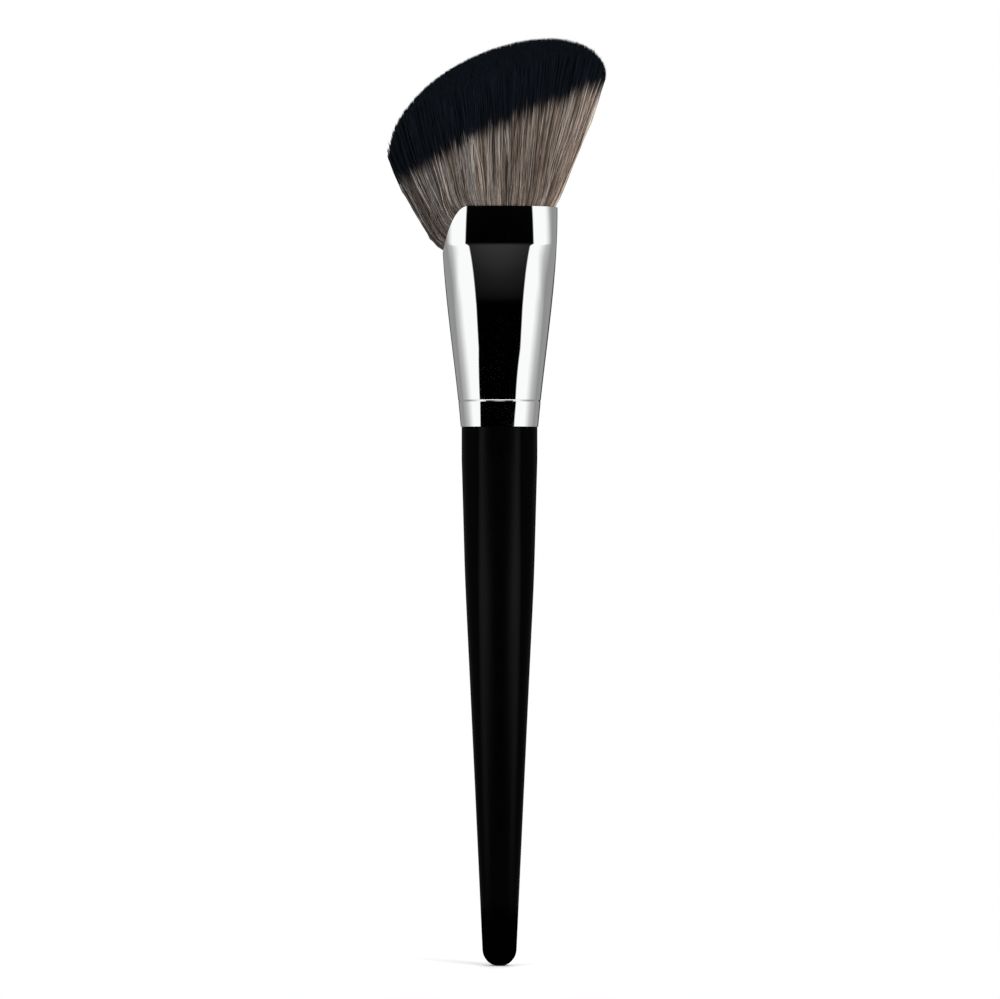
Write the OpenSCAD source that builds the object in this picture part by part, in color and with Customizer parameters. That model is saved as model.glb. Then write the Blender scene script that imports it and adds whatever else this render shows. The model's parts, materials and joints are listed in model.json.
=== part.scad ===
// Angled foundation brush: a turned handle, a pressed metal ferrule and a fanned head of hair.
// Z runs along the handle, from the butt to the hair. The origin is the middle of the butt's flat.
// The broad faces look along -Y and +Y. +X is the toe, where the hair is longest.

/* [Handle] */
// Length of the handle that shows, from the butt to the ferrule
handle_l = 99; // [85:1:115]
// Radius of the straight neck below the ferrule
neck_r = 6.96; // [5.8:0.02:8.2]
// Length of the straight neck
neck_l = 6; // [4:0.5:10]
// Radius of the rounded butt
butt_r = 3.15; // [2.2:0.05:3.8]
// Radius of the small flat at the end of the butt
butt_flat_r = 0.8; // [0.5:0.05:1.2]
// Depth of the glue grooves round the tenon
groove_d = 0.3; // [0.15:0.05:0.5]
// Width of a glue groove
groove_w = 1.2; // [0.6:0.1:2]

/* [Ferrule] */
// Length of the ferrule, from the handle's shoulder to its mouth
ferrule_l = 40.3; // [34:0.1:50]
// Wall of the ferrule
ferrule_wall = 0.35; // [0.25:0.05:0.5]
// How far the ferrule stands proud of the neck
ferrule_step = 0.15; // [0.1:0.01:0.4]
// Half the width of the mouth
mouth_half_w = 10.66; // [9:0.02:13]
// Half the depth of the mouth
mouth_half_d = 7.6; // [6:0.05:9]
// Half the depth at the crease under the pressed band
crease_half_d = 6.8; // [5.5:0.05:8.5]
// Height of the pressed band round the mouth
band_h = 6.9; // [5:0.1:9]
// Length over which the round tube turns oval below that band
press_l = 11; // [9:0.1:16]
// How far the rim drops at the heel
heel_drop = 8.3; // [5:0.1:10]
// Height of the crimp above the handle's shoulder
crimp_z = 4.8; // [3.5:0.05:6]
// Depth of the crimp
crimp_d = 0.17; // [0.1:0.01:0.3]
// Height of the crimp
crimp_h = 0.6; // [0.4:0.05:1.2]

/* [Glue] */
// How far below the tenon's end the glue collar stops
collar_low = 3; // [2:0.5:5]
// Thinnest part of the glue collar, at its foot
collar_t = 0.1; // [0.06:0.01:0.2]
// Height of the glue plug under the hair
plug_h = 4; // [2:0.5:6]
// Air space between the tenon and the plug
air_h = 2; // [0.5:0.5:4]
// Gap between glue and what it holds
bond_gap = 0.05; // [0.04:0.01:0.08]

/* [Hair] */
// Longest reach of the hair above the mouth
hair_l = 30.85; // [26:0.05:36]
// Reach of the hair from the axis on the heel side
heel_reach = 20.5; // [17:0.1:24]
// Reach of the hair from the axis on the toe side
toe_reach = 19.6; // [16:0.1:23]
// Half the depth of the head at its belly
belly_half_d = 11; // [9:0.1:13]
// Half the depth of the head at the tips
tip_half_d = 8.6; // [6:0.1:11]
// How far the edge strands on the heel side bow out
heel_bow = 1.2; // [0:0.1:2]
// How far the edge strands on the toe side bow out
toe_bow = 0.4; // [0:0.1:1]
// How much lower the hair ends on the broad faces than in the middle
crown_drop = 5.5; // [2:0.1:8]
// Depth of the hair's roots below the mouth
root_h = 18.3; // [15:0.1:21]
// How far the bound roots end below the rim
root_recess = 1.5; // [1:0.1:2]
// Gap between the hair's roots and the ferrule
root_gap = 0.08; // [0.06:0.01:0.12]
// Rings of strands from the middle of the head to its edge
rings = 10; // [9:1:11]

/* [Hidden] */
$fn = 96;

// Heights that the pieces share
mouth_z = handle_l + ferrule_l;
crease_z = mouth_z - band_h;
press_z = crease_z - press_l;
heel_rim_z = mouth_z - heel_drop;
root_z = mouth_z - root_h;
plug_z = root_z - plug_h;
tenon_z = plug_z - air_h;

// Radii where the handle sits in the ferrule
base_r = neck_r + ferrule_step;
tenon_r = base_r - ferrule_wall - collar_t - 2 * bond_gap;
tenon_l = tenon_z - handle_l;
collar_h = tenon_l - collar_low;

// A point of a cubic curve with four control points
function curve(p, t) =
    pow(1 - t, 3) * p[0] + 3 * t * pow(1 - t, 2) * p[1]
    + 3 * t * t * (1 - t) * p[2] + pow(t, 3) * p[3];

// The handle swells from the butt to the neck along one curve. Its control points are
// shares of the swell in radius and of the height between the butt's round and the neck.
swell_share = [[0, 0], [1.05, 0.975], [0.72, 0.587], [1, 1]];
swell_steps = 14;
round_steps = 8;
// The butt is an arc through the edge of its flat that meets the swell
butt_lift = sqrt(pow(butt_r, 2) - pow(butt_flat_r, 2));

function swell_point(t) =
    let (s = curve(swell_share, t), top = handle_l - neck_l)
    [butt_r + (neck_r - butt_r) * s[0], butt_lift + (top - butt_lift) * s[1]];

// Outline of the tenon from its foot to height h, with its two glue grooves, r wider than the wood
groove_place_share = [0.3, 0.72];
function tenon_side(h, r) = [
    [tenon_r + r, handle_l],
    for (share = groove_place_share, k = [-1, 0, 1])
        [tenon_r + r - (k == 0 ? groove_d : 0), handle_l + collar_h * share + k * groove_w / 2],
    [tenon_r + r, handle_l + h],
];

module handle() {
    start = acos(butt_lift / butt_r);
    chamfer = groove_w / 2;
    color([0.06, 0.06, 0.07])
    rotate_extrude()
    polygon(concat(
        [[0, 0]],
        [for (i = [0:round_steps - 1])
            let (a = start + (90 - start) * i / round_steps)
            [butt_r * sin(a), butt_lift - butt_r * cos(a)]],
        [for (i = [0:swell_steps]) swell_point(i / swell_steps)],
        [[neck_r, handle_l]],
        tenon_side(tenon_l - chamfer, 0),
        [[tenon_r - chamfer, tenon_z], [0, tenon_z]]
    ));
}

// The ferrule's half width at height z flares from the base to the mouth. The shares are the
// steepness of the flare at the base and at the mouth, where 1 is a straight cone.
flare_base_share = 1;
flare_mouth_share = -0.1;
function flare(t) =
    (pow(t, 3) - 2 * t * t + t) * flare_base_share
    + 3 * t * t - 2 * pow(t, 3)
    + (pow(t, 3) - t * t) * flare_mouth_share;

function half_w(z) = base_r + (mouth_half_w - base_r) * flare((z - handle_l) / ferrule_l);

// The tube is round up to press_z and is pressed ever flatter from there to the crease. The band
// above the crease opens again. pinch(z) is the share by which the depth is less than the width.
press_curve = 1.5;
crease_pinch = 1 - crease_half_d / half_w(crease_z);
mouth_pinch = 1 - mouth_half_d / mouth_half_w;
function pinch(z) =
    z < crease_z
    ? crease_pinch * pow(max((z - press_z) / press_l, 0), press_curve)
    : crease_pinch + (mouth_pinch - crease_pinch) * (z - crease_z) / band_h;
function half_d(z) = half_w(z) * (1 - pinch(z));

// The crimp is a shallow groove with almost straight sides
crimp_curve = 1.3;
function crimp(z) =
    crimp_d * max(0, 1 - pow(abs(z - handle_l - crimp_z) / (crimp_h / 2), crimp_curve));

// The rim is level except at the heel, where it curves down. across runs from -1 at the heel to 1.
rim_level_share = 0.53;
rim_curve = 2.2;
function rim_z(across) =
    mouth_z - heel_drop * pow(max(0, (-across - rim_level_share) / (1 - rim_level_share)), rim_curve);

// The crease dips under the rim where the rim is low
function crease_at(across) = min(crease_z, rim_z(across) - 2 * root_recess);

// Heights of n even steps from a up to b, without a itself
function steps(a, b, n) = [for (i = [1:n]) a + (b - a) * i / n];

// Heights of the ferrule's rows of points, foot first, at one place across the rim
body_rows = 8;
function ferrule_rows(across) =
    let (crimp_from = handle_l + crimp_z - crimp_h / 2,
         crimp_to = crimp_from + crimp_h,
         body_top = heel_rim_z - 3 * root_recess)
    concat(
        [handle_l, crimp_from],
        steps(crimp_from, crimp_to, 4),
        steps(crimp_to, body_top, body_rows),
        steps(body_top, crease_at(across), 4),
        steps(crease_at(across), rim_z(across), 2)
    );

// Triangles of a band of points between row a and row a + 1 of a tube, n points to a row.
// The first point of the tube is number first. They face outwards.
function band(first, a, n) = [
    for (i = [0:n - 1])
        let (j = (i + 1) % n, low = first + a * n, high = low + n)
        each [[low + i, high + i, low + j], [low + j, high + i, high + j]]
];

ferrule_sides = 64;
module ferrule() {
    across = [for (i = [0:ferrule_sides - 1]) cos(360 * i / ferrule_sides)];
    along = [for (i = [0:ferrule_sides - 1]) sin(360 * i / ferrule_sides)];
    rows = [for (c = across) ferrule_rows(c)];
    count = len(rows[0]);
    outside = [for (k = [0:count - 1], i = [0:ferrule_sides - 1])
        let (z = rows[i][k])
        [(half_w(z) - crimp(z)) * across[i], (half_d(z) - crimp(z)) * along[i], z]];
    inside = [for (k = [count - 1:-1:0], i = [0:ferrule_sides - 1])
        let (z = rows[i][k], w = ferrule_wall + crimp(z))
        [(half_w(z) - w) * across[i], (half_d(z) - w) * along[i], z]];
    last = 2 * count - 1;
    foot = [for (i = [0:ferrule_sides - 1])
        let (j = (i + 1) % ferrule_sides, low = last * ferrule_sides)
        each [[low + i, i, low + j], [low + j, i, j]]];
    color([0.78, 0.79, 0.8])
    polyhedron(
        concat(outside, inside),
        concat([for (k = [0:last - 1]) each band(0, k, ferrule_sides)], foot),
        convexity = 6
    );
}

// Radius of the ferrule's bore where it is round, less the bond gap
function bore_r(z) = min(half_w(z), half_d(z)) - ferrule_wall - crimp(z) - bond_gap;

collar_rows = 6;
module handle_glue() {
    crimp_from = handle_l + crimp_z - crimp_h / 2;
    heights = concat(
        [handle_l],
        steps(crimp_from - crimp_h, crimp_from + 2 * crimp_h, 2 * collar_rows),
        [handle_l + collar_h]
    );
    wood = tenon_side(collar_h, bond_gap);
    color([0.85, 0.75, 0.5])
    rotate_extrude()
    polygon(concat(
        [for (z = heights) [bore_r(z), z]],
        [for (i = [len(wood) - 1:-1:0]) wood[i]]
    ));
}

module hair_glue() {
    color([0.8, 0.7, 0.45])
    translate([0, 0, plug_z])
    cylinder(h = plug_h, r1 = bore_r(plug_z), r2 = bore_r(root_z));
}

// The head is laid out on a round plan of radius 1: u runs from -1 at the heel to 1 at the toe,
// and v from one broad face to the other. Ring i of the plan has 6 i points, evenly spaced.
function plan_count(i) = 1 + 3 * i * (i + 1);
function plan_number(i, j) = i == 0 ? 0 : plan_count(i - 1) + j % (6 * i);
plan = [
    [0, 0],
    for (i = [1:rings], j = [0:6 * i - 1])
        (i / rings) * [cos(60 * j / i), sin(60 * j / i)]
];

// The plan's triangles, as point numbers. Strands grow from those that point to the middle,
// and the others stay bare, so that each strand has a gap round it.
strand_feet = [
    for (i = [0:rings - 1], k = [0:5], m = [0:i])
        [plan_number(i, k * i + m),
         plan_number(i + 1, k * (i + 1) + m),
         plan_number(i + 1, k * (i + 1) + m + 1)]
];
bare_feet = [
    for (i = [1:rings - 1], k = [0:5], m = [0:i - 1])
        [plan_number(i, k * i + m),
         plan_number(i + 1, k * (i + 1) + m + 1),
         plan_number(i, k * i + m + 1)]
];

// Place of the plan's point uv at height z inside the ferrule
function in_bore(uv, z) = [
    (half_w(z) - ferrule_wall - root_gap) * uv[0],
    (half_d(z) - ferrule_wall - root_gap) * uv[1],
    z,
];

// The tips, seen from the front, follow one curve from heel to toe. Its control points are
// shares of the reach on their own side and of the hair's longest reach above the mouth.
tip_curve_share = [[-1, 0.315], [-0.92, 0.92], [0.9, 1.25], [1, 0.795]];
tip_curve = [for (s = tip_curve_share) [s[0] * (s[0] < 0 ? heel_reach : toe_reach), s[1] * hair_l]];

// The strands stand more upright in the middle and lean out near the heel and the toe
upright_share = 0.6;
heel_lean = 8;
toe_lean = 3;
function lean(u) =
    u * (upright_share + (1 - upright_share) * pow(abs(u), u < 0 ? heel_lean : toe_lean));

function tip(uv) =
    let (front = curve(tip_curve, (lean(uv[0]) + 1) / 2))
    [front[0], tip_half_d * uv[1], mouth_z + front[1] - crown_drop * uv[1] * uv[1]];

// A strand leaves the rim at t = 0, swells through the belly at 0.5 and ends at its tip at 1
function fan(uv, t) =
    let (from = in_bore(uv, rim_z(uv[0])),
         to = tip(uv),
         bow = uv[0] * abs(uv[0]) * (uv[0] < 0 ? heel_bow : toe_bow),
         middle = [(from[0] + to[0]) / 2 + bow, belly_half_d * uv[1], (from[2] + to[2]) / 2])
    from * (1 - t) * (1 - 2 * t) + middle * 4 * t * (1 - t) + to * t * (2 * t - 1);

// A strand's rings as shares of its free length, and its thickness there as shares of its foot's
ring_share = [0, 0.4, 0.78];
thick_share = [0.9, 0.82, 0.55];

module hair() {
    edge = 6 * rings;
    first_edge = plan_count(rings - 1);
    top = [for (p = plan) in_bore(p, rim_z(p[0]) - root_recess)];
    // Rows of the bound roots' side, top first, under the edge of the plan
    side_rows = [for (j = [0:edge - 1])
        let (u = plan[first_edge + j][0], low = heel_rim_z - 3 * root_recess)
        concat(steps(root_z, low, 2), steps(low, crease_at(u), 4))];
    row_count = len(side_rows[0]);
    side = [for (k = [row_count - 1:-1:0], j = [0:edge - 1])
        in_bore(plan[first_edge + j], side_rows[j][k])];
    bottom = [for (j = [0:edge - 1]) in_bore(plan[first_edge + j], root_z)];
    centre = len(top) + len(side) + edge;
    strands = [for (foot = strand_feet)
        let (corners = [for (n = foot) plan[n]],
             mid = (corners[0] + corners[1] + corners[2]) / 3)
        each concat(
            [for (r = [0:len(ring_share) - 1], c = corners)
                fan(mid + (c - mid) * thick_share[r], ring_share[r])],
            [fan(mid, 1)]
        )];
    per_strand = 3 * len(ring_share) + 1;
    strand_faces = [for (s = [0:len(strand_feet) - 1])
        let (first = centre + 1 + s * per_strand,
             rings_up = concat(
                 [strand_feet[s]],
                 [for (r = [0:len(ring_share) - 1]) [for (c = [0:2]) first + 3 * r + c]]),
             tip_point = first + per_strand - 1,
             last = rings_up[len(ring_share)])
        each concat(
            [for (r = [0:len(ring_share) - 1], c = [0:2])
                let (d = (c + 1) % 3, low = rings_up[r], high = rings_up[r + 1])
                each [[low[c], high[c], low[d]], [low[d], high[c], high[d]]]],
            [for (c = [0:2]) [last[c], tip_point, last[(c + 1) % 3]]]
        )];
    bare_faces = [for (f = bare_feet) [f[2], f[1], f[0]]];
    side_faces = [for (k = [0:row_count], j = [0:edge - 1])
        let (n = (j + 1) % edge,
             high = first_edge + k * edge,
             low = high + edge)
        each [[low + j, high + j, low + n], [low + n, high + j, high + n]]];
    bottom_faces = [for (j = [0:edge - 1])
        [centre, centre - edge + j, centre - edge + (j + 1) % edge]];
    color([0.36, 0.31, 0.28])
    polyhedron(
        concat(top, side, bottom, [in_bore([0, 0], root_z)], strands),
        concat(strand_faces, bare_faces, side_faces, bottom_faces),
        convexity = 20
    );
}

handle();
ferrule();
handle_glue();
hair_glue();
hair();
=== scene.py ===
"""An angled foundation brush with a lacquered handle, a polished ferrule and a head of dark-tipped hair."""

import json
import math

import bpy
import numpy as np
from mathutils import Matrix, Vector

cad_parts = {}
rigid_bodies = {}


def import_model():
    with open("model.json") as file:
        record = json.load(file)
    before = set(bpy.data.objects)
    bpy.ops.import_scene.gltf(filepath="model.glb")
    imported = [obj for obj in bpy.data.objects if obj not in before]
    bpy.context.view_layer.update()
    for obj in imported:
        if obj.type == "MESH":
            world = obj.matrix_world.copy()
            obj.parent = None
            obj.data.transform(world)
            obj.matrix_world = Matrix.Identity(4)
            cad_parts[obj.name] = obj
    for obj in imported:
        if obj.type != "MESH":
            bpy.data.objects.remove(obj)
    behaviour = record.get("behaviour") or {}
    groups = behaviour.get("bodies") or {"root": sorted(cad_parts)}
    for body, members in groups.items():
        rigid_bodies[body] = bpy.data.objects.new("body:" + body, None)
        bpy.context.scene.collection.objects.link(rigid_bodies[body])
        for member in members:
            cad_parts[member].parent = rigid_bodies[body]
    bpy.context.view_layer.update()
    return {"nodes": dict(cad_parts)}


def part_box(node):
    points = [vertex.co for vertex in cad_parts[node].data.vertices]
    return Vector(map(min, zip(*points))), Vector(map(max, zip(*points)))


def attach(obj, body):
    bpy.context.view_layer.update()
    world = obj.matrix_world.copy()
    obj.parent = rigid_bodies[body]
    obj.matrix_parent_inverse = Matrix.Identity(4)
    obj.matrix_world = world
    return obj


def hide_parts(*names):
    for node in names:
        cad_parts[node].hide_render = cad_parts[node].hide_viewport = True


for left_over in list(bpy.data.objects):
    bpy.data.objects.remove(left_over)
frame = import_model()

# Handle. A stick of hardwood, turned from a slim rounded butt to a straight neck, with a tenon
# that goes into the ferrule. Its black lacquer is satin smooth, with the faint ripple of a dipped
# coat and fine rubs where fingers and brush cups touch it.
MM = 0.001
handle_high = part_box("handle")[1]
shoulder_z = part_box("ferrule")[0].z
neck_r = handle_high.x
neck_l = 6 * MM
butt_r = 3.15 * MM
butt_flat_r = 0.8 * MM
swell_share = np.array([[0, 0], [1.05, 0.975], [0.72, 0.587], [1, 1]])
edge_r = 0.12 * MM
tenon_r = 6.56 * MM
tenon_chamfer = 0.48 * MM
BUTT_STEPS = 14
SWELL_STEPS = 72
EDGE_STEPS = 6
HANDLE_SIDES = 160
SHARP_ANGLE = math.radians(60)


def cubic(points, t):
    """Points of a cubic curve with four control points, one for each value of t."""
    t = np.asarray(t, float)[..., None]
    return (
        (1 - t) ** 3 * points[0]
        + 3 * t * (1 - t) ** 2 * points[1]
        + 3 * t * t * (1 - t) * points[2]
        + t**3 * points[3]
    )


def arc(centre, radius, start, end, steps):
    """Points of a round edge in an outline, from angle start to end in degrees."""
    turn = np.radians(np.linspace(start, end, steps))
    return np.c_[centre[0] + radius * np.cos(turn), centre[1] + radius * np.sin(turn)]


def handle_outline():
    """Radius and height of the handle's outline, from the butt up to the end of the tenon."""
    lift = math.sqrt(butt_r**2 - butt_flat_r**2)
    start = -90 + math.degrees(math.asin(butt_flat_r / butt_r))
    butt = arc((0, lift), butt_r, start, 0, BUTT_STEPS)
    share = cubic(swell_share, np.linspace(0, 1, SWELL_STEPS)[1:])
    swell = np.c_[
        butt_r + (neck_r - butt_r) * share[:, 0],
        lift + (shoulder_z - neck_l - lift) * share[:, 1],
    ]
    shoulder = arc((neck_r - edge_r, shoulder_z - edge_r), edge_r, 0, 90, EDGE_STEPS)
    tenon = [
        [tenon_r, shoulder_z],
        [tenon_r, handle_high.z - tenon_chamfer],
        [tenon_r - tenon_chamfer, handle_high.z],
    ]
    return np.r_[[[0, 0]], butt, swell, shoulder, tenon, [[0, handle_high.z]]]


def bands(rows, sides, closed=False):
    """Faces between rows of points round a tube. closed joins the last row to the first."""
    faces = []
    for k in range(rows if closed else rows - 1):
        low, high = k * sides, (k + 1) % rows * sides
        for i in range(sides):
            j = (i + 1) % sides
            faces.append((low + i, low + j, high + j, high + i))
    return faces


def capped_bands(rows, sides):
    """Faces of a tube whose ends close on two more points, the lower one first."""
    faces = bands(rows, sides)
    last = (rows - 1) * sides
    low_end = rows * sides
    high_end = low_end + 1
    for i in range(sides):
        j = (i + 1) % sides
        faces.append((j, i, low_end))
        faces.append((last + i, last + j, high_end))
    return faces


def turned(outline, sides):
    """Points and faces of an outline turned round Z. Its first and last points lie on the axis."""
    turn = np.linspace(0, 2 * math.pi, sides, endpoint=False)
    ring = np.c_[np.cos(turn), np.sin(turn)]
    body = outline[1:-1]
    points = [[x * r, y * r, z] for r, z in body for x, y in ring]
    points += [[0, 0, outline[0][1]], [0, 0, outline[-1][1]]]
    return points, capped_bands(len(body), sides)


def new_piece(name, points, faces, node, material, slot):
    """A smooth mesh that stands for a CAD node and rides on the brush."""
    mesh = bpy.data.meshes.new(name)
    mesh.from_pydata(np.asarray(points).tolist(), [], faces)
    mesh.validate()
    mesh.shade_smooth()
    mesh.set_sharp_from_angle(angle=SHARP_ANGLE)
    mesh.materials.append(material)
    piece = bpy.data.objects.new(name, mesh)
    bpy.context.scene.collection.objects.link(piece)
    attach(piece, "root")
    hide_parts(node)
    return piece


def put(tree, kind, inputs=(), **settings):
    """Adds a shader node. inputs gives each named socket a value or another node's output."""
    made = tree.nodes.new(kind)
    for name, value in settings.items():
        setattr(made, name, value)
    for name, value in dict(inputs).items():
        if isinstance(value, bpy.types.NodeSocket):
            tree.links.new(value, made.inputs[name])
        else:
            made.inputs[name].default_value = value
    return made


def new_finish(name):
    """A plain new material: itself, its node tree, its main shader and the place on the object."""
    material = bpy.data.materials.new(name)
    material.use_nodes = True
    tree = material.node_tree
    shader = tree.nodes["Principled BSDF"]
    place = put(tree, "ShaderNodeTexCoord").outputs["Object"]
    return material, tree, shader, place


def noise(tree, place, size, detail=2.0):
    """Soft spots about size metres across, from 0 to 1."""
    inputs = {"Vector": place, "Scale": 1 / size, "Detail": detail}
    return put(tree, "ShaderNodeTexNoise", inputs).outputs["Fac"]


def streaks(tree, place, size, squash, detail=2.0):
    """Noise that is squashed along the brush: below 1 gives upright streaks, above 1 level ones."""
    squashed = put(tree, "ShaderNodeMapping", {"Vector": place, "Scale": (1, 1, squash)})
    return noise(tree, squashed.outputs["Vector"], size, detail)


def ranged(tree, value, low, high, to_low, to_high):
    """Maps value from low..high to to_low..to_high, and holds it there."""
    inputs = {"Value": value, "From Min": low, "From Max": high, "To Min": to_low, "To Max": to_high}
    return put(tree, "ShaderNodeMapRange", inputs, clamp=True).outputs["Result"]


def ripple(tree, shader, place, size, depth, strength):
    """Gives a shader's surface soft ripples of that size and depth in metres."""
    inputs = {"Height": noise(tree, place, size), "Strength": strength, "Distance": depth}
    bump = put(tree, "ShaderNodeBump", inputs)
    tree.links.new(bump.outputs["Normal"], shader.inputs["Normal"])


lacquer_colour = (0.0003, 0.0003, 0.0004, 1)
rub_size = 0.35 * MM
rub_squash = 0.12
satin_range = (0.27, 0.33)
# The sheen is strongest where the lacquer faces the eye, and falls off towards its edges. The
# further up the handle, the stronger it is and the sooner it falls.
full_sheen_facing = 0.07
least_sheen = 0.012
sheen_edge_heights = (20 * MM, 90 * MM)
sheen_edge_facings = (0.36, 0.18)
sheen_heights = (8 * MM, 70 * MM)
sheen_levels = (least_sheen, 0.22)


def black_lacquer():
    """Satin black lacquer on wood."""
    material, tree, shader, place = new_finish("black_lacquer")
    rubs = streaks(tree, place, rub_size, rub_squash, detail=4)
    roughness = ranged(tree, rubs, 0.35, 0.7, *satin_range)
    tree.links.new(roughness, shader.inputs["Roughness"])
    ripple(tree, shader, place, size=2.5 * MM, depth=0.03 * MM, strength=0.1)
    shader.inputs["Base Color"].default_value = lacquer_colour
    facing = put(tree, "ShaderNodeLayerWeight", {"Blend": 0.5}).outputs["Facing"]
    height = put(tree, "ShaderNodeSeparateXYZ", {"Vector": place}).outputs["Z"]
    edge = ranged(tree, height, *sheen_edge_heights, *sheen_edge_facings)
    strongest = ranged(tree, height, *sheen_heights, *sheen_levels)
    sheen = ranged(tree, facing, full_sheen_facing, edge, strongest, least_sheen)
    tree.links.new(sheen, shader.inputs["Specular IOR Level"])
    return material


stick = turned(handle_outline(), HANDLE_SIDES)
new_piece("handle_stick", *stick, "handle", black_lacquer(), "black_lacquer")

# Ferrule. A thin brass tube, drawn round, flared and pressed oval at the mouth, then plated and
# polished like a mirror. The press leaves a crease below the mouth, the rim is cut down at the
# heel, and one crimp line near the foot grips the glued tenon.
ferrule_low, ferrule_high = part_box("ferrule")
foot_z, mouth_z = ferrule_low.z, ferrule_high.z
foot_step = 0.15 * MM
foot_r = neck_r + foot_step
wall = 0.35 * MM
mouth_half_w = 10.66 * MM
mouth_half_d = 7.6 * MM
flare_foot_share = 1.0
flare_mouth_share = -0.1
crease_half_d = 6.8 * MM
crease_soft_share = 0.005
crease_reach = 4 * MM
band_h = 6.9 * MM
crease_z = mouth_z - band_h
press_l = 11 * MM
press_curve = 1.5
heel_drop = 8.3 * MM
rim_level_share = 0.53
rim_curve = 2.2
crimp_z = foot_z + 4.75 * MM
crimp_depth = 0.111 * MM
crimp_half_h = 0.17 * MM
CRIMP_ROWS = 27
crimp_rows_share = 1.3
BODY_ROWS = 40
body_top_z = mouth_z - heel_drop - 4 * MM
MOUTH_ROWS = 90
FERRULE_SIDES = 240


def half_w(z):
    """Half the ferrule's width at height z."""
    t = (z - foot_z) / (mouth_z - foot_z)
    flare = (t**3 - 2 * t**2 + t) * flare_foot_share + 3 * t**2 - 2 * t**3
    return foot_r + (mouth_half_w - foot_r) * (flare + (t**3 - t**2) * flare_mouth_share)


crease_pinch = 1 - crease_half_d / half_w(crease_z)
mouth_pinch = 1 - mouth_half_d / mouth_half_w


def half_d(z):
    """Half the depth at height z: round below, pressed to the crease, then opening in the band."""
    below = crease_pinch * np.clip((z - crease_z) / press_l + 1, 0, None) ** press_curve
    band = crease_pinch + (mouth_pinch - crease_pinch) * (z - crease_z) / band_h
    soft = crease_soft_share
    crease = -soft * np.logaddexp(-below / soft, -band / soft)
    pinch = np.where(np.abs(z - crease_z) < crease_reach, crease, np.minimum(below, band))
    return half_w(z) * (1 - pinch)


def crimp(z):
    """Depth of the crimp at height z."""
    return crimp_depth * np.clip(1 - np.abs(z - crimp_z) / crimp_half_h, 0, 1)


def rim_z(across):
    """Height of the rim, where across runs from -1 at the heel to 1 at the toe."""
    down = np.clip((-across - rim_level_share) / (1 - rim_level_share), 0, 1)
    return mouth_z - heel_drop * down**rim_curve


def ferrule_mesh():
    """Points and faces of the ferrule: up its outside, over the rim and down its inside."""
    turn = np.linspace(0, 2 * math.pi, FERRULE_SIDES, endpoint=False)
    across, along = np.cos(turn), np.sin(turn)
    crimp_rows = crimp_z + crimp_half_h * np.linspace(-crimp_rows_share, crimp_rows_share, CRIMP_ROWS)
    body_rows = np.linspace(crimp_rows[-1], body_top_z, BODY_ROWS)[1:]
    level = np.r_[foot_z, crimp_rows, body_rows]
    rise = np.linspace(0, 1, MOUTH_ROWS)[1:, None]
    heights = np.r_[
        np.repeat(level[:, None], FERRULE_SIDES, 1),
        body_top_z + (rim_z(across) - body_top_z) * rise,
    ]
    outside = [(z, crimp(z)) for z in heights]
    inside = [(z, wall + crimp(z)) for z in heights[::-1]]
    points = [
        np.c_[(half_w(z) - inset) * across, (half_d(z) - inset) * along, z]
        for z, inset in outside + inside
    ]
    return np.concatenate(points), bands(len(points), FERRULE_SIDES, closed=True)


def maths(tree, operation, *values):
    """Result of a calculation on one to three values, each a number or another node's output."""
    return put(tree, "ShaderNodeMath", dict(enumerate(values)), operation=operation).outputs[0]


plating_colour = (0.95, 0.955, 0.96, 1)
smear_size = 4 * MM
smear_range = (0.014, 0.03)
hairline_size = 1.2 * MM
hairline_squash = 14
hairline_range = (0, 0.008)


def polished_metal():
    """Mirror plating with faint smears, and hairlines from polishing it round and round."""
    material, tree, shader, place = new_finish("polished_metal")
    smears = ranged(tree, noise(tree, place, smear_size, 3), 0.4, 0.75, *smear_range)
    hairlines = streaks(tree, place, hairline_size, hairline_squash, detail=3)
    lines = ranged(tree, hairlines, 0.3, 0.7, *hairline_range)
    tree.links.new(maths(tree, "ADD", smears, lines), shader.inputs["Roughness"])
    ripple(tree, shader, place, size=6 * MM, depth=0.02 * MM, strength=0.05)
    shader.inputs["Base Color"].default_value = plating_colour
    shader.inputs["Metallic"].default_value = 1
    return material


new_piece("ferrule_tube", *ferrule_mesh(), "ferrule", polished_metal(), "polished_metal")

# Glue. Amber epoxy in the ferrule: a collar round the tenon and a plug under the hair. It is
# poured as a liquid, so it fills the bore, and it never shows on a whole brush.
epoxy_dark = (0.5, 0.36, 0.16, 1)
epoxy_pale = (0.75, 0.62, 0.36, 1)
bubble_size = 0.8 * MM


def two_tones(tree, value, dark, pale):
    """Colour that goes from dark to pale as value goes from 0 to 1."""
    tone = put(tree, "ShaderNodeValToRGB", {"Fac": value})
    tone.color_ramp.elements[0].color = dark
    tone.color_ramp.elements[1].color = pale
    return tone.outputs["Color"]


def epoxy():
    """Hard amber resin, clouded by fine bubbles."""
    material, tree, shader, place = new_finish("epoxy")
    bubbles = noise(tree, place, bubble_size, 3)
    tree.links.new(two_tones(tree, bubbles, epoxy_dark, epoxy_pale), shader.inputs["Base Color"])
    shader.inputs["Roughness"].default_value = 0.25
    return material


glue = epoxy()
for name in ("handle_glue", "hair_glue"):
    slots = frame["nodes"][name].data.materials
    slots.clear()
    slots.append(glue)

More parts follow.
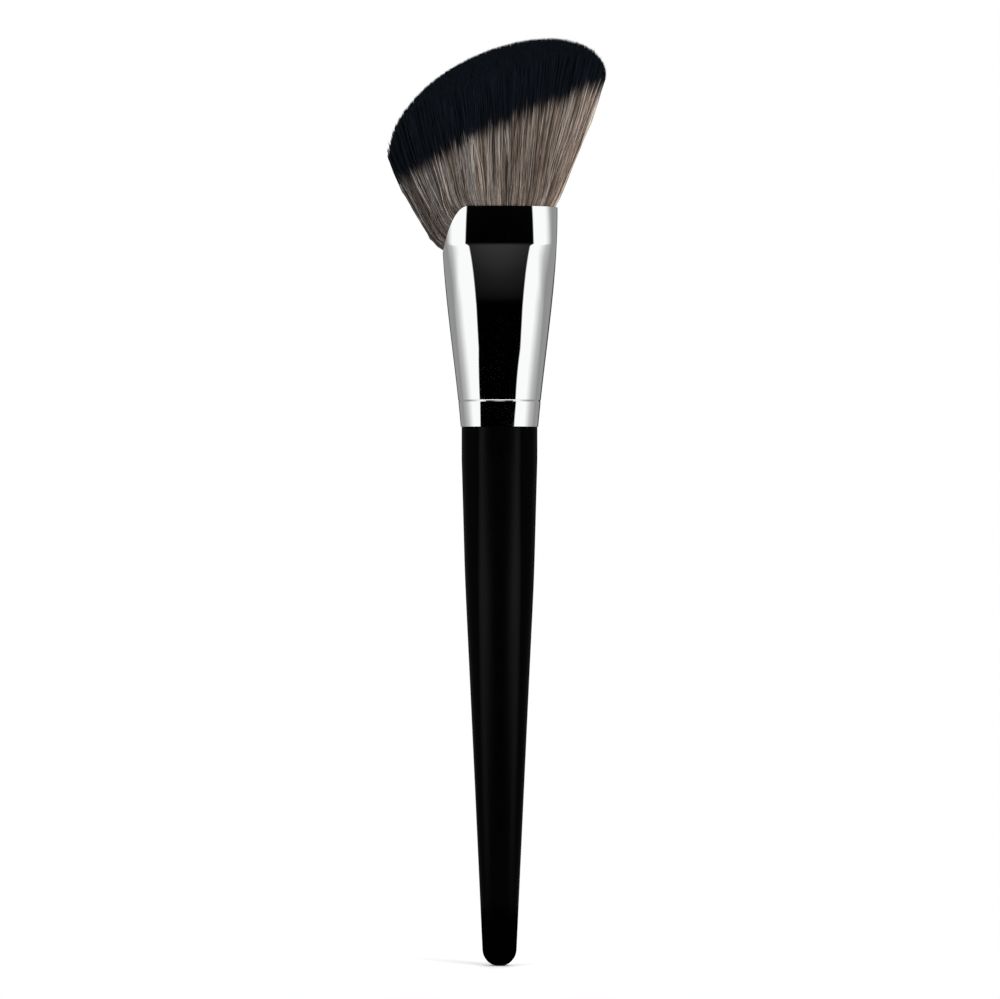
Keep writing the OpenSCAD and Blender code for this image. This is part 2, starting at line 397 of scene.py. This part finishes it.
# Hair. Thousands of fine straight hairs, brown, taupe and beige, with their ends dyed navy
# black. They are bound in epoxy inside the mouth and fan out to a domed, slanted head, and they
# gather in thin locks as real hair does.
root_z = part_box("hair")[0].z
root_gap = 0.08 * MM
root_recess = 1.5 * MM
hair_l = 30.85 * MM
heel_reach = 20.5 * MM
toe_reach = 19.6 * MM
tip_curve_share = np.array([[-1, 0.315], [-0.92, 0.92], [0.9, 1.25], [1, 0.795]])
tip_half_d = 8.6 * MM
crown_drop = 5.5 * MM
upright_share = 0.6
heel_lean = 8
toe_lean = 3
belly_half_d = 11 * MM
heel_bow = 1.2 * MM
toe_bow = 0.4 * MM
puff = 0.65 * MM
puff_share = 0.1
toe_puff_loss = 0.85
luck = np.random.default_rng(11)


def spiral(count):
    """Places spread evenly over a disk of radius 1."""
    i = np.arange(count)
    turn = i * math.pi * (3 - math.sqrt(5))
    return np.sqrt((i + 0.5) / count)[:, None] * np.c_[np.cos(turn), np.sin(turn)]


def in_bore(uv, z):
    """Places inside the ferrule at height z. uv is a place on the head's round plan."""
    inset = wall + root_gap
    x = (half_w(z) - inset) * uv[..., 0]
    y = (half_d(z) - inset) * uv[..., 1]
    return np.stack([x, y, z + 0 * x], -1)


def tips(uv):
    """Places of the hairs' ends."""
    reach = np.where(tip_curve_share[:, 0] < 0, heel_reach, toe_reach)
    curve = np.c_[tip_curve_share[:, 0] * reach, tip_curve_share[:, 1] * hair_l]
    u = uv[..., 0]
    lean = np.abs(u) ** np.where(u < 0, heel_lean, toe_lean)
    front = cubic(curve, (1 + u * (upright_share + (1 - upright_share) * lean)) / 2)
    drop = crown_drop * uv[..., 1] ** 2
    return np.stack([front[..., 0], tip_half_d * uv[..., 1], mouth_z + front[..., 1] - drop], -1)


def fan(uv, t):
    """Places along the hairs, from the rim at t = 0 through the belly to the tip at t = 1."""
    start, end = in_bore(uv, rim_z(uv[..., 0])), tips(uv)
    u = uv[..., 0]
    bow = u * np.abs(u) * np.where(u < 0, heel_bow, toe_bow)
    middle = (start + end) / 2
    middle[..., 0] += bow
    middle[..., 1] = belly_half_d * uv[..., 1]
    spread = t / puff_share
    swell = puff * (spread * np.exp(1 - spread)) ** 2 * (1 - toe_puff_loss * np.maximum(u, 0) ** 2)
    t = t[..., None]
    path = start * (1 - t) * (1 - 2 * t) + middle * 4 * t * (1 - t) + end * t * (2 * t - 1)
    path[..., :2] += swell[..., None] * uv
    return path


# Each hair goes with its nearest lock. It starts and ends near its own place, is drawn to the
# middle of its lock in between, drifts aside as it rises, and waves a little.
HAIRS = 24000
LOCKS = 3000
LOCK_BATCHES = 40
scatter_share = 0.45
outermost_share = 0.995
level_share = np.array([0, 0.06, 0.14, 0.28, 0.45, 0.63, 0.81, 0.965, 1.0])
lock_pull_share = np.array([[0, 0.1], [0.3, 0.45], [0.7, 0.45], [1, 0.1]])
longest_share = 1.008
length_scatter_share = 0.01
short_hair_chance = 0.05
short_hair_loss_share = 0.03
lock_drift_share = 0.035
hair_drift_share = 0.03
drift_rise, drift_slowing = 1.6, 0.8
lock_wave = 0.16 * MM
hair_wave = 0.1 * MM
wave_half_turns = (1.0, 3.0)
wave_start_radians = (0, 6.3)
wave_foot_share = 0.2


def hair_paths():
    """Middle lines of all hairs as (hair, level, xyz), their places in the plan, and their locks."""
    uv = spiral(HAIRS) + luck.normal(0, scatter_share / math.sqrt(HAIRS), (HAIRS, 2))
    uv /= np.maximum(1, np.hypot(*uv.T) / outermost_share)[:, None]
    centres = spiral(LOCKS)
    batches = np.array_split(uv, LOCK_BATCHES)
    lock = np.concatenate(
        [np.argmin(((batch[:, None] - centres) ** 2).sum(2), 1) for batch in batches]
    )
    level = level_share
    pull = np.interp(level, *lock_pull_share.T)
    length = longest_share - np.abs(luck.normal(0, length_scatter_share, HAIRS))
    length -= (luck.random(HAIRS) < short_hair_chance) * short_hair_loss_share
    gathered = uv[:, None] + (centres[lock] - uv)[:, None] * pull[None, :, None]
    drift = luck.normal(0, lock_drift_share, (LOCKS, 2))[lock]
    drift += luck.normal(0, hair_drift_share, (HAIRS, 2))
    gathered += drift[:, None] * (level * (drift_rise - drift_slowing * level))[None, :, None]
    gathered /= np.maximum(1, np.linalg.norm(gathered, axis=2, keepdims=True))
    path = fan(gathered, level[None] * length[:, None])
    foot = np.minimum(1, level / wave_foot_share)[None, :, None]
    for count, owner, size in ((LOCKS, lock, lock_wave), (HAIRS, np.arange(HAIRS), hair_wave)):
        sway = luck.normal(0, size, (count, 1, 2))
        turns = luck.uniform(*wave_half_turns, (count, 1, 2)) * math.pi
        start = luck.uniform(*wave_start_radians, (count, 1, 2))
        wave = sway * np.sin(turns * level[None, :, None] + start)
        path[:, :, :2] += (wave * foot)[owner]
    below = in_bore(uv, rim_z(uv[:, 0]) - root_recess)
    return np.concatenate([below[:, None], path], 1), uv, lock


HAIR_SIDES = 3
hair_r = 0.075 * MM
thick_range = (0.75, 1.2)
taper_share = np.array([1, 1, 1, 1, 1, 1, 1, 1, 0.85, 0])


def hair_tubes(path):
    """Three-sided tapering tubes along the paths, as (hair, level, side, xyz)."""
    along = np.gradient(path, axis=1)
    along /= np.linalg.norm(along, axis=2, keepdims=True)
    across = np.cross(along, [0, 1, 0])
    across /= np.linalg.norm(across, axis=2, keepdims=True)
    out = np.cross(across, along)
    corners = np.arange(HAIR_SIDES) * 2 * math.pi / HAIR_SIDES
    turn = luck.uniform(0, 2 * math.pi, (len(path), 1, 1)) + corners
    radius = luck.uniform(*thick_range, (len(path), 1, 1)) * hair_r * taper_share[None, :, None]
    ring = np.cos(turn)[..., None] * across[:, :, None] + np.sin(turn)[..., None] * out[:, :, None]
    return path[:, :, None] + radius[..., None] * ring


def hair_faces(count, levels):
    """Faces of count hairs with that many levels. The last level is one point, the tip."""
    tip = HAIR_SIDES * (levels - 1)
    last = tip - HAIR_SIDES
    one = bands(levels - 1, HAIR_SIDES)
    for i in range(HAIR_SIDES):
        one.append((last + i, last + (i + 1) % HAIR_SIDES, tip))
    return [tuple(n + hair * (tip + 1) for n in face) for hair in range(count) for face in one]


# The dye ends on a slanted line across the head, ragged from lock to lock and hair to hair
dye_mid_z = mouth_z + 14.1 * MM
dye_slope = 0.47
dye_swell = 1.2 * MM
dye_soft = 1.7 * MM
dye_lock_ragged = 0.35 * MM
dye_hair_ragged = 0.6 * MM
dye_colour = (0.0045, 0.0066, 0.0105, 1)


def above_dye(points):
    """Height above the line where the dye ends."""
    x = points[..., 0]
    line = dye_mid_z + dye_slope * x - dye_swell * (x / toe_reach) ** 2
    return points[..., 2] - line


coat_tones = np.array(
    [
        [0.52, 0.45, 0.4],
        [0.33, 0.265, 0.22],
        [0.22, 0.165, 0.13],
        [0.12, 0.088, 0.068],
        [0.045, 0.035, 0.028],
    ]
)
coat_chance = [0.12, 0.24, 0.3, 0.22, 0.12]
lock_tone_share = 0.4
tone_range = (0.85, 1.15)
mean_greyness = 0.05
heel_greyness = 0.3
greyness_scatter = 0.25
most_grey = 0.7
palest = 0.8
# Painted light and shade on the coat: a brightness factor at places from -1 at the heel to 1 at the toe,
# shaded at the heel edge and lit at the toe edge
painted_light_by_place = np.array(
    [[-1, 0.62], [-0.85, 0.85], [-0.5, 1.1], [-0.1, 0.92], [0.3, 0.78], [0.65, 0.95], [0.88, 1], [1, 2.3]]
)


def coat_colours(lock, uv):
    """Colour of each hair, from its lock's tone and its own: greyer at the heel, with painted shade at the
    heel edge and painted light at the toe edge.
    """
    of_lock = coat_tones[luck.choice(len(coat_tones), LOCKS, p=coat_chance)][lock]
    own = coat_tones[luck.choice(len(coat_tones), HAIRS, p=coat_chance)]
    colour = lock_tone_share * of_lock + (1 - lock_tone_share) * own
    colour *= luck.uniform(*tone_range, (HAIRS, 1))
    grey = colour.mean(1, keepdims=True)
    greyness = mean_greyness - heel_greyness * uv[:, :1]
    greyness += luck.normal(0, greyness_scatter, (LOCKS, 1))[lock]
    # Painted light and shade: each hair is darkened or brightened by its place across the head
    light = np.interp(uv[:, :1], *painted_light_by_place.T)
    return np.clip((colour + (grey - colour) * np.clip(greyness, 0, most_grey)) * light, 0, palest)


mottle_size = 0.3 * MM
mottle_squash = 0.08
mottle_range = (0.72, 1.25)


def tipped_hair():
    """Hair with its coat's colour below the dye's line and navy black above it."""
    material, tree, shader, place = new_finish("tipped_hair")
    coat = put(tree, "ShaderNodeAttribute", attribute_name="coat").outputs["Color"]
    height = put(tree, "ShaderNodeAttribute", attribute_name="above_dye").outputs["Fac"]
    dyed = put(
        tree,
        "ShaderNodeMapRange",
        {"Value": height, "From Min": -dye_soft, "From Max": dye_soft},
        interpolation_type="SMOOTHSTEP",
    ).outputs["Result"]
    mottle = ranged(tree, streaks(tree, place, mottle_size, mottle_squash), 0.3, 0.7, *mottle_range)
    shade = put(tree, "ShaderNodeVectorMath", {0: coat, "Scale": mottle}, operation="SCALE")
    colour = put(
        tree,
        "ShaderNodeMix",
        {"Factor": dyed, 6: shade.outputs[0], 7: dye_colour},
        data_type="RGBA",
    )
    tree.links.new(colour.outputs[2], shader.inputs["Base Color"])
    shader.inputs["Roughness"].default_value = 0.55
    shader.inputs["Specular IOR Level"].default_value = 0.06
    return material


def set_values(piece, name, kind, values):
    """Stores one value for each point of a piece's mesh, for its material to read."""
    field = "color" if kind == "FLOAT_COLOR" else "value"
    data = piece.data.attributes.new(name, kind, "POINT").data
    data.foreach_set(field, np.ascontiguousarray(values, np.float32).ravel())


CELL_COLUMNS = 96
strip_left_share = 0.3
strip_side_share = 0.2
strip_foot_share = 0.04
strip_length_share = 0.92


def strip_map(piece, count, rows):
    """Gives each hair one narrow upright strip of the texture, which its three sides share."""
    mesh = piece.data
    cell_rows = math.ceil(count / CELL_COLUMNS)
    tip = HAIR_SIDES * (rows.shape[1] - 1)
    corner = np.empty(len(mesh.loops), np.int32)
    mesh.loops.foreach_get("vertex_index", corner)
    hair, point = corner // (tip + 1), corner % (tip + 1)
    side = np.where(point == tip, 1, point % HAIR_SIDES)
    up = np.take_along_axis(rows[hair], (point // HAIR_SIDES)[:, None], 1)[:, 0]
    across = (hair % CELL_COLUMNS + strip_left_share + strip_side_share * side) / CELL_COLUMNS
    along = (hair // CELL_COLUMNS + strip_foot_share + strip_length_share * up) / cell_rows
    strips = mesh.uv_layers.new(name="OFBake")
    strips.data.foreach_set("uv", np.c_[across, along].astype(np.float32).ravel())


paths, plan, locks = hair_paths()
tubes = hair_tubes(paths)
coats = coat_colours(locks, plan)
ragged = luck.normal(0, dye_lock_ragged, LOCKS)[locks] + luck.normal(0, dye_hair_ragged, HAIRS)
hair_finish = tipped_hair()
bearings = np.degrees(np.arctan2(plan[:, 1], plan[:, 0])) % 360
EIGHTHS = ["toe", "toe_back", "back", "heel_back", "heel", "heel_front", "front", "toe_front"]
EIGHTH = 360 / len(EIGHTHS)
for i, eighth in enumerate(EIGHTHS):
    mine = np.abs((bearings - EIGHTH * i + 180) % 360 - 180) < EIGHTH / 2
    tube = tubes[mine]
    count = len(tube)
    points = np.concatenate([tube[:, :-1].reshape(count, -1, 3), tube[:, -1, :1]], 1)
    faces = hair_faces(count, paths.shape[1])
    name = "hair_" + eighth
    piece = new_piece(name, points.reshape(-1, 3), faces, "hair", hair_finish, "tipped_hair")
    colour = np.repeat(np.c_[coats[mine], np.ones(count)], points.shape[1], 0)
    set_values(piece, "coat", "FLOAT_COLOR", colour)
    set_values(piece, "above_dye", "FLOAT", above_dye(points) - ragged[mine][:, None])
    step = np.linalg.norm(np.diff(paths[mine], axis=1), axis=2).cumsum(1)
    strip_map(piece, count, np.c_[np.zeros(count), step / step[:, -1:]])

ROOT_SIDES = 96
ROOT_ROWS = 16
root_ring_share = (0.75, 0.5, 0.25)
root_dark = (0.03, 0.024, 0.02, 1)
root_pale = (0.16, 0.13, 0.11, 1)
root_grain = 0.2 * MM


def bound_roots():
    """Points and faces of the slice of hair roots, bound in epoxy inside the ferrule."""
    turn = np.linspace(0, 2 * math.pi, ROOT_SIDES, endpoint=False)
    edge = np.c_[np.cos(turn), np.sin(turn)]
    top = rim_z(edge[:, 0]) - root_recess
    rows = [in_bore(edge, root_z + (top - root_z) * share) for share in np.linspace(0, 1, ROOT_ROWS)]
    for share in root_ring_share:
        rows.append(in_bore(edge * share, rim_z(edge[:, 0] * share) - root_recess))
    ends = in_bore(np.zeros((2, 2)), np.r_[root_z, top.max()])
    return np.concatenate(rows + [ends]), capped_bands(len(rows), ROOT_SIDES)


def bound_hair():
    """Hair ends set in resin, brown and finely grained."""
    material, tree, shader, place = new_finish("bound_hair")
    grain = noise(tree, place, root_grain, 4)
    tree.links.new(two_tones(tree, grain, root_dark, root_pale), shader.inputs["Base Color"])
    shader.inputs["Roughness"].default_value = 0.6
    return material


new_piece("hair_roots", *bound_roots(), "hair", bound_hair(), "tipped_hair")

# Studio. A pale floor under a white world, and round the brush a tent that only gloss sees: its
# front is black, a white panel stands on either side, and its back is grey with a dark strip. It
# draws the dark middle, the bright bands and the grey edges on the ferrule.
TENT_R = 0.2
TENT_H = 0.5
TENT_SIDES = 72
# Rings of (radius, height). The tent's floor is open in the middle, and a low black collar stands
# there round the butt, to keep the bright floor out of its lacquer.
TENT_ROWS = [(60 * MM, 0.5 * MM), (TENT_R, 0.5 * MM), (TENT_R, TENT_H)]
COLLAR_ROWS = [(1.2 * MM, 0.3 * MM), (12 * MM, 0.3 * MM), (12 * MM, 9 * MM)]
FLOOR_R = 0.6
FLOOR_SIDES = 96
floor_dark = (0.94, 0.94, 0.94, 1)
floor_pale = (0.96, 0.96, 0.96, 1)
floor_grain = 20 * MM
shadow_range = (15 * MM, 80 * MM)
room_light = 0.75


def new_stage(name, points, faces, material):
    """A mesh of the studio, which is no part of the brush."""
    mesh = bpy.data.meshes.new(name)
    mesh.from_pydata(points, [], faces)
    mesh.materials.append(material)
    obj = bpy.data.objects.new(name, mesh)
    bpy.context.scene.collection.objects.link(obj)
    return obj


def ring_points(radius, height, sides):
    """Points of a level ring round the brush."""
    turns = [2 * math.pi * i / sides for i in range(sides)]
    return [(radius * math.cos(turn), radius * math.sin(turn), height) for turn in turns]


def studio_white(tree):
    """Strength of the white light that comes from all round. Cameras and gloss see it full."""
    rays = put(tree, "ShaderNodeLightPath").outputs
    seen = rays["Is Camera Ray"]
    for other in ("Is Glossy Ray", "Is Transmission Ray"):
        seen = maths(tree, "MAXIMUM", seen, rays[other])
    return ranged(tree, seen, 0, 1, room_light, 1)


def floor_paint():
    """White paint that takes the object's shadow near it, and glows as the world does far off."""
    material, tree, shader, place = new_finish("floor_paint")
    grain = noise(tree, place, floor_grain)
    tree.links.new(two_tones(tree, grain, floor_dark, floor_pale), shader.inputs["Base Color"])
    shader.inputs["Roughness"].default_value = 0.9
    shader.inputs["Specular IOR Level"].default_value = 0
    far = put(tree, "ShaderNodeVectorMath", {0: place}, operation="LENGTH").outputs["Value"]
    far_share = ranged(tree, far, *shadow_range, 0, 1)
    glow = put(tree, "ShaderNodeEmission", {"Strength": studio_white(tree)})
    mixed = put(tree, "ShaderNodeMixShader", {0: far_share, 1: shader.outputs[0], 2: glow.outputs[0]})
    tree.links.new(mixed.outputs[0], tree.nodes["Material Output"].inputs["Surface"])
    return material


new_stage("floor", ring_points(FLOOR_R, 0, FLOOR_SIDES), [tuple(range(FLOOR_SIDES))], floor_paint())


def ramp(tree, value, stops, full=1):
    """Brightness through stops of (value, brightness), for values from 0 to full in the stops."""
    made = put(tree, "ShaderNodeValToRGB", {"Fac": value})
    elements = made.color_ramp.elements
    elements[0].position, elements[1].position = stops[0][0] / full, stops[-1][0] / full
    for position, _ in stops[1:-1]:
        elements.new(position / full)
    for element, (_, bright) in zip(elements, stops):
        element.color = (bright, bright, bright, 1)
    return made.outputs["Color"]


# Bearings on the tent are turned into shares of half a turn, from 0 at the front to 1 at the back.
# Its stops hold degrees from the front and the brightness there.
DEGREE = 1 / 180
back_stops = [(84, 1), (104, 0.5), (126, 0.28), (162, 0.3), (173, 0.04), (180, 0.02)]
high_stops = [(0, 0), (51, 0), (52.5, 1)] + back_stops
low_stops = [(0, 0), (14, 0), (30, 0.35), (46, 1)] + back_stops
low_lean = 7.5 * DEGREE
side_lean = 2.2 * DEGREE
top_greying = 13 * DEGREE
foot_greying = 4.5 * DEGREE


def leant(tree, signed, z):
    """Bearing from the front without its sign, after the pattern leans a little to one side."""
    rise = ranged(tree, z, 56 * MM, 64 * MM, 0, low_lean)
    sink = ranged(tree, z, 67 * MM, 76 * MM, low_lean, 0)
    aside = maths(tree, "ABSOLUTE", signed)
    at_side = ranged(tree, aside, 55 * DEGREE, 80 * DEGREE, 0, side_lean)
    lean = maths(tree, "MAXIMUM", maths(tree, "MINIMUM", rise, sink), at_side)
    return maths(tree, "ABSOLUTE", maths(tree, "ADD", signed, lean))


def greyed_sooner(tree, turn, z):
    """Bearing moved on, so that the white panels turn grey sooner at their top and their foot."""
    slant = maths(tree, "MULTIPLY_ADD", turn, 360 * MM, z)
    at_top = ranged(tree, slant, 322 * MM, 354 * MM, 0, top_greying)
    at_foot = ranged(tree, z, 76 * MM, 92 * MM, foot_greying, 0)
    on_panel = ranged(tree, turn, 55 * DEGREE, 68 * DEGREE, 0, 1)
    return maths(tree, "MULTIPLY_ADD", maths(tree, "MAXIMUM", at_top, at_foot), on_panel, turn)


def tent_walls(tree, signed, z):
    """The tent's pattern. Low down its stripe is narrower, and its front darkens to the floor."""
    turn = leant(tree, signed, z)
    shaded = greyed_sooner(tree, turn, z)
    high = ramp(tree, shaded, high_stops, 180)
    low = ramp(tree, shaded, low_stops, 180)
    above_floor = ranged(tree, z, 10 * MM, 60 * MM, 0, 1)
    past_front = ranged(tree, turn, 52 * DEGREE, 64 * DEGREE, 0, 1)
    fade = maths(tree, "MAXIMUM", above_floor, past_front)
    low = put(tree, "ShaderNodeVectorMath", {0: low, "Scale": fade}, operation="SCALE").outputs[0]
    low_top = ranged(tree, turn, 0, 160 * DEGREE, 54 * MM, 93 * MM)
    lift = ranged(tree, maths(tree, "SUBTRACT", z, low_top), -4 * MM, 0, 0, 1)
    mixed = put(tree, "ShaderNodeMix", {"Factor": lift, 6: low, 7: high}, data_type="RGBA")
    return mixed.outputs[2]


# Dusk on the tent, as shares of its height and the brightness there: none at the foot, a little
# more all the way up, and bright under the top
dusk_stops = [
    (0, 0), (0.16, 0), (0.19, 0.0003), (0.235, 0.0013), (0.35, 0.007), (0.464, 0.013),
    (0.557, 0.021), (0.672, 0.029), (0.772, 0.034), (0.8, 0.038), (0.84, 0.8), (1, 0.9),
]


def tent_cloth():
    """Cloth that glows with the tent's pattern, or with dusk where that is brighter."""
    material = bpy.data.materials.new("tent_cloth")
    material.use_nodes = True
    tree = material.node_tree
    tree.nodes.remove(tree.nodes["Principled BSDF"])
    place = put(tree, "ShaderNodeTexCoord").outputs["Object"]
    xyz = put(tree, "ShaderNodeSeparateXYZ", {"Vector": place}).outputs
    ahead = maths(tree, "MULTIPLY", xyz["Y"], -1)
    signed = maths(tree, "DIVIDE", maths(tree, "ARCTAN2", xyz["X"], ahead), math.pi)
    walls = tent_walls(tree, signed, xyz["Z"])
    dusk = ramp(tree, maths(tree, "DIVIDE", xyz["Z"], TENT_H), dusk_stops)
    light = put(
        tree,
        "ShaderNodeMix",
        {"Factor": 1.0, 6: walls, 7: dusk},
        data_type="RGBA",
        blend_type="LIGHTEN",
    ).outputs[2]
    glow = put(tree, "ShaderNodeEmission", {"Color": light, "Strength": 1.0})
    tree.links.new(glow.outputs[0], tree.nodes["Material Output"].inputs["Surface"])
    return material


def black_cloth():
    """Dull black cloth."""
    material, _, shader, _ = new_finish("black_cloth")
    shader.inputs["Base Color"].default_value = (0, 0, 0, 1)
    shader.inputs["Specular IOR Level"].default_value = 0
    return material


def hung_round(name, rows, tops, material):
    """Cloth that hangs round the brush on rings of (radius, height), and that only gloss sees."""
    points = [point for radius, height in rows for point in ring_points(radius, height, TENT_SIDES)]
    obj = new_stage(name, points, bands(len(rows), TENT_SIDES) + tops, material)
    obj.visible_camera = False
    obj.visible_diffuse = False
    obj.visible_shadow = False
    obj.visible_transmission = False


top_ring = len(TENT_ROWS) - 1
tent_top = tuple(range(top_ring * TENT_SIDES, (top_ring + 1) * TENT_SIDES))
hung_round("tent", TENT_ROWS, [tent_top], tent_cloth())
hung_round("collar", COLLAR_ROWS, [], black_cloth())

world = bpy.data.worlds.new("studio")
bpy.context.scene.world = world
world.use_nodes = True
sky = world.node_tree
backdrop = sky.nodes["Background"]
backdrop.inputs["Color"].default_value = (1, 1, 1, 1)
sky.links.new(studio_white(sky), backdrop.inputs["Strength"])


def lamp(name, place, size, watts):
    """A square soft lamp that looks at the head of the brush and doesn't show in its metal."""
    light = bpy.data.lights.new(name, "AREA")
    light.size = size
    light.energy = watts
    obj = bpy.data.objects.new(name, light)
    bpy.context.scene.collection.objects.link(obj)
    obj.location = place
    head = frame["nodes"]["hair"].location.copy()
    head.z += mouth_z
    obj.rotation_euler = (obj.location - head).to_track_quat("Z", "Y").to_euler()
    obj.visible_glossy = False


lamp("key_lamp", (0.7, -0.9, 0.8), 0.6, 9)
lamp("fill_lamp", (-0.8, -0.7, 0.5), 0.7, 4)
lamp("back_lamp", (0.1, 1.0, 0.7), 0.7, 4)

# Camera. It looks straight at the broad face from far off, so that the frame is
# 183.8 mm wide at the brush.
CAMERA_FAR = 1.2
SENSOR_MM = 36
frame_w = 183.78 * MM
frame_middle = (0.09 * MM, 85.64 * MM)
camera = bpy.data.cameras.new("camera")
camera.sensor_width = SENSOR_MM
camera.lens = SENSOR_MM * CAMERA_FAR / frame_w
camera_object = bpy.data.objects.new("camera", camera)
bpy.context.scene.collection.objects.link(camera_object)
camera_object.location = (frame_middle[0], -CAMERA_FAR, frame_middle[1])
camera_object.rotation_euler = (math.pi / 2, 0, 0)
bpy.context.scene.camera = camera_object
bpy.context.scene.view_settings.view_transform = "Standard"
